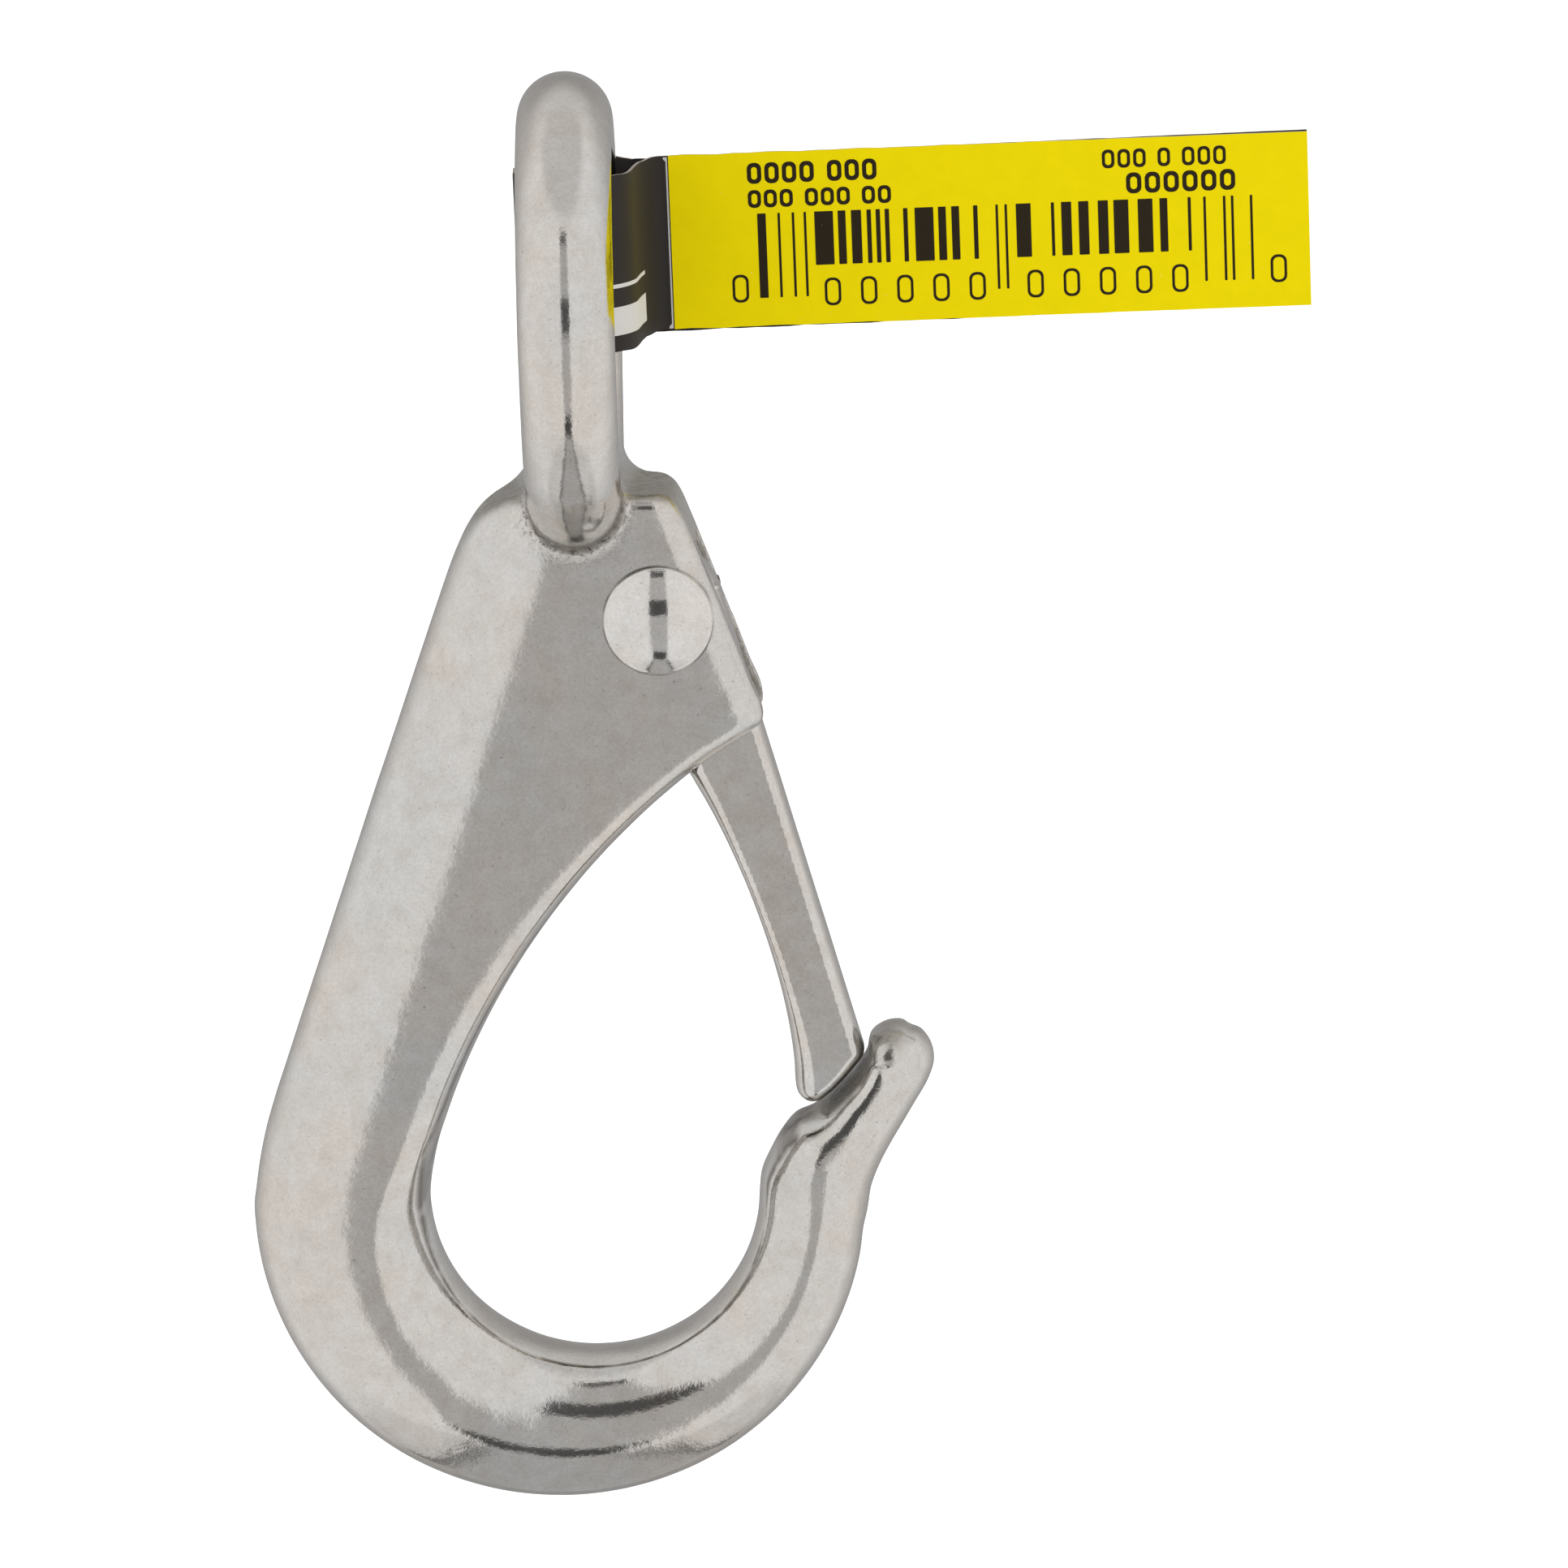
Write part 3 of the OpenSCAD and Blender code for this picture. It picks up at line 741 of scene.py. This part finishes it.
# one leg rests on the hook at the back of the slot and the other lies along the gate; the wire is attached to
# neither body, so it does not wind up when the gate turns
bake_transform(spring)
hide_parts("gate_spring")


# ---------- hang tag ----------
TAG_RISE = 2.3
TAG_TILT = math.radians(0.7)
TAG_HALF = 5.60
LAYER = 0.27
TAIL_Y = 12.9
TAIL_END = 47.15
LOOP_LEFT, LOOP_RIGHT = -3.55, 4.35
LOOP_FRONT, LOOP_BACK = 3.3, 15.8
BAND_END = 6.25
YELLOW, BLACK, CORE = 0, 1, 2


def tag_path():
    """Middle line of the card seen from above: along the front layer, round the loop, along the back."""
    cx, cy = (LOOP_LEFT + LOOP_RIGHT) / 2, (LOOP_FRONT + LOOP_BACK) / 2
    hx, hy = (LOOP_RIGHT - LOOP_LEFT - LAYER) / 2, (LOOP_BACK - LOOP_FRONT - LAYER) / 2
    loop = []
    for i in range(73):
        a = math.radians(-24 - (360 - 48) * i / 72)
        c, s = math.cos(a), math.sin(a)
        square = 2 / 2.6
        loop.append((cx + hx * math.copysign(abs(c) ** square, c),
                     cy + hy * math.copysign(abs(s) ** square, s)))
    ahead = [(x, TAIL_Y - LAYER / 2 - 0.01) for x in np.linspace(TAIL_END, 6.3, 40)]
    behind = [(x, TAIL_Y + LAYER / 2 + 0.01) for x in np.linspace(6.3, TAIL_END, 40)]
    turn_in = bezier([ahead[-1], (5.4, ahead[-1][1]), (4.5, 12.3), loop[0]], 8)[1:-1]
    turn_out = bezier([loop[-1], (4.5, 13.3), (5.4, behind[0][1]), behind[0]], 8)[1:-1]
    return np.array(ahead + [tuple(p) for p in turn_in] + loop + [tuple(p) for p in turn_out] + behind)


def tag_mesh():
    path = tag_path()
    run = np.gradient(path, axis=0)
    run /= np.linalg.norm(run, axis=1)[:, None]
    side = np.column_stack([run[:, 1], -run[:, 0]])
    rows = len(path)
    levels = np.linspace(-1, 1, 15)
    levels = np.sign(levels) * (1 - (1 - np.abs(levels)) ** 1.4)
    total = np.r_[0, np.cumsum(np.linalg.norm(np.diff(path, axis=0), axis=1))]
    ring = [(1, v) for v in levels] + [(-1, v) for v in levels[::-1]]
    points = []
    for i in range(rows):
        behind = i > rows / 2
        tail = max(path[i, 0] - 6, 0) / (TAIL_END - 6)
        shift = 0.24 * tail - 0.12 if behind else 0.04
        wavy = 0.05 * math.sin(total[i] * 1.7) * math.sin(total[i] * 0.61)
        for s, v in ring:
            half = LAYER / 2 * (1 - 0.25 * (abs(v) > 0.99))
            sway = 0.05 * math.sin(path[i, 0] * 0.23) * tail
            x, y = path[i] + side[i] * s * half + (0, sway)
            z = v * TAG_HALF + shift + (wavy if abs(v) > 0.9 else 0) * (1 - tail)
            points.append((x * math.cos(TAG_TILT) - z * math.sin(TAG_TILT), y,
                           TAG_RISE + z * math.cos(TAG_TILT) + x * math.sin(TAG_TILT)))
    m = len(ring)
    faces, kinds = [], []
    for i in range(rows - 1):
        tail_front = i < rows / 2 and path[i + 1, 0] >= BAND_END - 0.05
        for k in range(m):
            j = (k + 1) % m
            faces.append((i * m + k, (i + 1) * m + k, (i + 1) * m + j, i * m + j))
            if ring[k][0] != ring[j][0]:
                kinds.append(CORE)
            elif tail_front and ring[k][0] < 0:
                kinds.append(YELLOW)
            else:
                kinds.append(BLACK)
    faces.append(tuple(range(m))[::-1])
    faces.append(tuple(range((rows - 1) * m, rows * m)))
    kinds += [CORE, CORE]
    return points, faces, kinds


points, faces, kinds = tag_mesh()
tag = piece("hang_tag_card", points, faces, [yellow_ink, black_ink, paper_core], 40)
for polygon, kind in zip(tag.data.polygons, kinds):
    polygon.material_index = kind
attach(tag, "tag")
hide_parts("hang_tag")


# ---------- print on the tag: bars and outlined blanks that spell nothing ----------
def tag_face_y(x):
    tail = max(x - 6, 0) / (TAIL_END - 6)
    return TAIL_Y - LAYER - 0.01 + 0.05 * math.sin(x * 0.23) * tail


def on_tag(x, z, y):
    return (x * math.cos(TAG_TILT) - z * math.sin(TAG_TILT), y,
            TAG_RISE + z * math.cos(TAG_TILT) + x * math.sin(TAG_TILT))


def rounded(x0, x1, z0, z1, corner, count):
    corner = min(corner, (x1 - x0) / 2, (z1 - z0) / 2)
    return (arc((x1 - corner, z1 - corner), corner, 0, 90, count)
            + arc((x0 + corner, z1 - corner), corner, 90, 180, count)
            + arc((x0 + corner, z0 + corner), corner, 180, 270, count)
            + arc((x1 - corner, z0 + corner), corner, 270, 360, count))


def patch(x0, x1, z0, z1, corner=0.04, lift=0.015):
    """A thin raised patch of ink on the front of the tag."""
    outline = rounded(x0, x1, z0, z1, corner, 2)
    y = tag_face_y((x0 + x1) / 2)
    n = len(outline)
    points = [on_tag(x, z, depth) for depth in (y - lift, y + 0.02) for x, z in outline]
    faces = [tuple(range(n)), tuple(range(n, 2 * n))[::-1]]
    faces += [(i, i + n, (i + 1) % n + n, (i + 1) % n) for i in range(n)]
    return points, faces


def blank(x, z, width, height, stroke, lift=0.015):
    """An outlined blank, the stand-in for one printed character."""
    outer = rounded(x, x + width, z - height / 2, z + height / 2, width * 0.42, 5)
    inner = rounded(x + stroke, x + width - stroke,
                    z - height / 2 + stroke, z + height / 2 - stroke, width * 0.3, 5)
    y = tag_face_y(x)
    n = len(outer)
    points = [on_tag(a, b, depth) for depth in (y - lift, y + 0.02) for a, b in outer + inner]
    faces = []
    for i in range(n):
        j = (i + 1) % n
        faces += [(i, j, j + n, i + n), (i + 2 * n, i + 3 * n, j + 3 * n, j + 2 * n),
                  (i, i + 2 * n, j + 2 * n, j), (i + n, j + n, j + 3 * n, i + 3 * n)]
    return points, faces


def gather(patches):
    points, faces = [], []
    for p, f in patches:
        faces += [tuple(i + len(points) for i in face) for face in f]
        points += p
    return points, faces


BARS_TOP = 1.7
# each group of bars: left end, right end, foot, choice of widths, choice of gaps
BAR_GROUPS = (
    (11.85, 15.2, -3.75, (0.16, 0.16, 0.55), (0.5, 0.6, 0.75)),
    (15.5, 26.7, -1.75, (0.28, 0.5, 0.65, 1.2), (0.3, 0.35, 0.45, 0.9)),
    (27.1, 27.9, -3.75, (0.16,), (0.42,)),
    (28.4, 39.6, -1.75, (0.2, 0.5, 0.65, 0.95), (0.35, 0.45, 0.6, 1.3)),
    (40.4, 43.8, -3.75, (0.16,), (1.05, 1.1, 0.35)),
)


def bars():
    """Upright bars in five groups; the widths are random and encode nothing."""
    rng = np.random.default_rng(5)
    found = []
    for start, end, low, widths, gaps in BAR_GROUPS:
        x = start
        while x < end:
            width = min(float(rng.choice(widths)), end - x + 0.16)
            found.append(patch(x, x + width, low, BARS_TOP))
            x += width + float(rng.choice(gaps))
    return found


def row(x, z, height, words, width, stroke, gap):
    """Words of outlined blanks; each number in words is how many blanks it has."""
    found = []
    for count in words:
        for _ in range(count):
            found.append(blank(x, z, width, height, stroke))
            x += width + gap
        x += width * 0.7
    return found


marks = bars()
marks += row(11.3, 4.3, 1.35, (4, 3), 0.92, 0.27, 0.2)
marks += row(11.3, 2.65, 1.15, (3, 3, 2), 0.84, 0.23, 0.18)
marks += row(34.0, 4.35, 1.2, (3, 1, 3), 0.8, 0.2, 0.2)
marks += row(35.5, 2.75, 1.35, (6,), 0.98, 0.27, 0.22)
for x, count in ((10.1, 1), (16.0, 5), (29.0, 5), (44.6, 1)):
    marks += row(x, -3.5 if count > 1 else -3.1, 1.8, (count,), 1.05, 0.17, 1.27)
points, faces = gather(marks)
ink = piece("hang_tag_print", points, faces, print_ink, 30)
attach(ink, "tag")


def band_on_path(first, last, z0, z1, lift=0.02):
    """A thin strip laid on the outer side of the card between two places along its path."""
    path = tag_path()
    run = np.gradient(path, axis=0)
    run /= np.linalg.norm(run, axis=1)[:, None]
    outward = np.column_stack([-run[:, 1], run[:, 0]])
    points, faces = [], []
    for i in range(first, last + 1):
        for depth, z in ((lift, z0), (lift, z1), (-0.05, z1), (-0.05, z0)):
            x, y = path[i] + outward[i] * (LAYER / 2 + depth)
            points.append(on_tag(x, z, y))
    for k in range(last - first):
        for a in range(4):
            b = (a + 1) % 4
            faces.append((4 * k + a, 4 * k + b, 4 * k + 4 + b, 4 * k + 4 + a))
    faces += [(3, 2, 1, 0), tuple(range(len(points) - 4, len(points)))]
    return points, faces


white = [patch(BAND_END - 0.34, BAND_END - 0.02, -5.5, 5.55),
         band_on_path(45, 60, -1.5, -1.25), band_on_path(45, 60, -4.5, -2.7)]
points, faces = gather(white)
stripe = piece("hang_tag_stripe", points, faces, white_ink, 30)
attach(stripe, "tag")


# ---------- studio ----------
def smooth_step(tree, value, low, high):
    made = tree.nodes.new("ShaderNodeMapRange")
    made.interpolation_type = "SMOOTHSTEP"
    made.inputs["From Min"].default_value = low
    made.inputs["From Max"].default_value = high
    tree.links.new(value, made.inputs["Value"])
    return made.outputs["Result"]


def band(tree, value, low, high, soft):
    rise = smooth_step(tree, value, low - soft, low + soft)
    fall = smooth_step(tree, value, high - soft, high + soft)
    return maths(tree, "SUBTRACT", rise, fall)


def toward(tree, share, level, target):
    """level moved to target by share."""
    return maths(tree, "ADD", level, maths(tree, "MULTIPLY", share, maths(tree, "SUBTRACT", target, level)))


# dark boxes in the gap, as lowest and highest angle, softness and grey: round the camera, below it, above it
DARK_BOXES = (
    (-2, 15, 0.6, 0.09),
    (-53, -42, 1.0, 0.07),
    (40, 46, 1.0, 0.10),
)


def studio_light():
    """White panels left and right of the camera, a dim gap with dark boxes between, ceiling and floor."""
    world = bpy.data.worlds.new("studio")
    bpy.context.scene.world = world
    world.use_nodes = True
    tree = world.node_tree
    background = tree.nodes["Background"]
    direction = tree.nodes.new("ShaderNodeTexCoord").outputs["Generated"]
    split = tree.nodes.new("ShaderNodeSeparateXYZ")
    tree.links.new(direction, split.inputs[0])
    x, y, z = split.outputs
    side = maths(tree, "ABSOLUTE", maths(tree, "ARCTAN2", x, maths(tree, "MULTIPLY", y, -1.0)))
    side = maths(tree, "DEGREES", side)
    height = maths(tree, "DEGREES", maths(tree, "ARCSINE", z))
    behind = toward(tree, smooth_step(tree, height, 20, 46), 0.36, 0.70)
    level = toward(tree, smooth_step(tree, side, 95, 175), 0.92, behind)
    gap = maths(tree, "SUBTRACT", 1.0, smooth_step(tree, side, 9.2, 10.2))
    gap = maths(tree, "SUBTRACT", gap, smooth_step(tree, height, 46, 49), clamp=True)
    level = toward(tree, gap, level, 0.53)
    for low, high, soft, grey in DARK_BOXES:
        box = maths(tree, "MULTIPLY", gap, band(tree, height, low, high, soft))
        level = toward(tree, box, level, grey)
    ceiling = smooth_step(tree, height, 48, 62)
    level = toward(tree, ceiling, level, 0.70)
    down = maths(tree, "MAXIMUM", maths(tree, "MULTIPLY", z, -1.0), 0.02)
    across = maths(tree, "DIVIDE", maths(tree, "ABSOLUTE", x), down)
    ahead = maths(tree, "DIVIDE", maths(tree, "MULTIPLY", y, -1.0), down)
    ground = maths(tree, "SUBTRACT", 1.0, smooth_step(tree, height, -56, -51))
    far = smooth_step(tree, maths(tree, "MULTIPLY", ahead, -1.0), -0.1, 0.9)
    level = toward(tree, ground, level, toward(tree, far, 0.78, 0.40))
    mat_side = maths(tree, "SUBTRACT", 0.34, maths(tree, "MULTIPLY", ahead, 0.23))
    margin = maths(tree, "SUBTRACT", across, mat_side)
    mat = maths(tree, "SUBTRACT", 1.0, smooth_step(tree, margin, -0.02, 0.0))
    mat = maths(tree, "MULTIPLY", mat, smooth_step(tree, ahead, -0.56, -0.53))
    mat = maths(tree, "MULTIPLY", mat, ground)
    level = toward(tree, mat, level, 0.50)
    rim = maths(tree, "MULTIPLY", mat, smooth_step(tree, margin, -0.065, -0.045))
    level = toward(tree, rim, level, 0.12)
    tint = tree.nodes.new("ShaderNodeCombineColor")
    for socket, share in zip(tint.inputs, (1.0, 0.985, 0.975)):
        tree.links.new(maths(tree, "MULTIPLY", level, share), socket)
    seen = tree.nodes.new("ShaderNodeLightPath").outputs["Is Camera Ray"]
    shown = mixed(tree, "MIX", seen, tint.outputs[0], (1.0, 1.0, 1.0))
    tree.links.new(shown, background.inputs["Color"])


FLOOR_DROP = 45


def pale_floor(level):
    rows = 24
    size = 4000
    wide = rows + 1
    places = [(i / rows - 0.5) * size for i in range(wide)]
    points = [(x, y, level) for x in places for y in places]
    faces = [(i * wide + j, (i + 1) * wide + j, (i + 1) * wide + j + 1, i * wide + j + 1)
             for i in range(rows) for j in range(rows)]
    material, tree, surface = shader("pale_floor", (0.95, 0.95, 0.95), 0.0, 0.9)
    surface.inputs["Emission Color"].default_value = (1, 1, 1, 1)
    surface.inputs["Emission Strength"].default_value = 0.55
    surface.inputs["Specular IOR Level"].default_value = 0.0
    floor = piece("floor", points, faces, material)
    floor.visible_glossy = False
    floor.visible_diffuse = False
    floor.visible_shadow = False


CAMERA_AIM = Vector((12.6, 0, -30.5)) * MM
CAMERA_DISTANCE = 0.520
CAMERA_HEIGHT_DEGREES = 12.0
CAMERA_ROLL_DEGREES = 1.5
CAMERA_LENS = 188.5


def photo_camera():
    made = bpy.data.objects.new("camera", bpy.data.cameras.new("camera"))
    bpy.context.scene.collection.objects.link(made)
    made.data.lens = CAMERA_LENS
    made.data.sensor_width = 36
    made.data.clip_start = 0.01
    made.data.clip_end = 20
    a = math.radians(CAMERA_HEIGHT_DEGREES)
    away = Vector((0, -math.cos(a), math.sin(a)))
    made.location = CAMERA_AIM + CAMERA_DISTANCE * away
    made.rotation_mode = "QUATERNION"
    level = (-away).to_track_quat("-Z", "Y")
    roll = Quaternion((0, 0, 1), math.radians(-CAMERA_ROLL_DEGREES))
    made.rotation_quaternion = level @ roll
    bpy.context.scene.camera = made


bpy.context.scene.view_settings.view_transform = "Standard"
studio_light()
pale_floor(body_low[2] - FLOOR_DROP)
photo_camera()
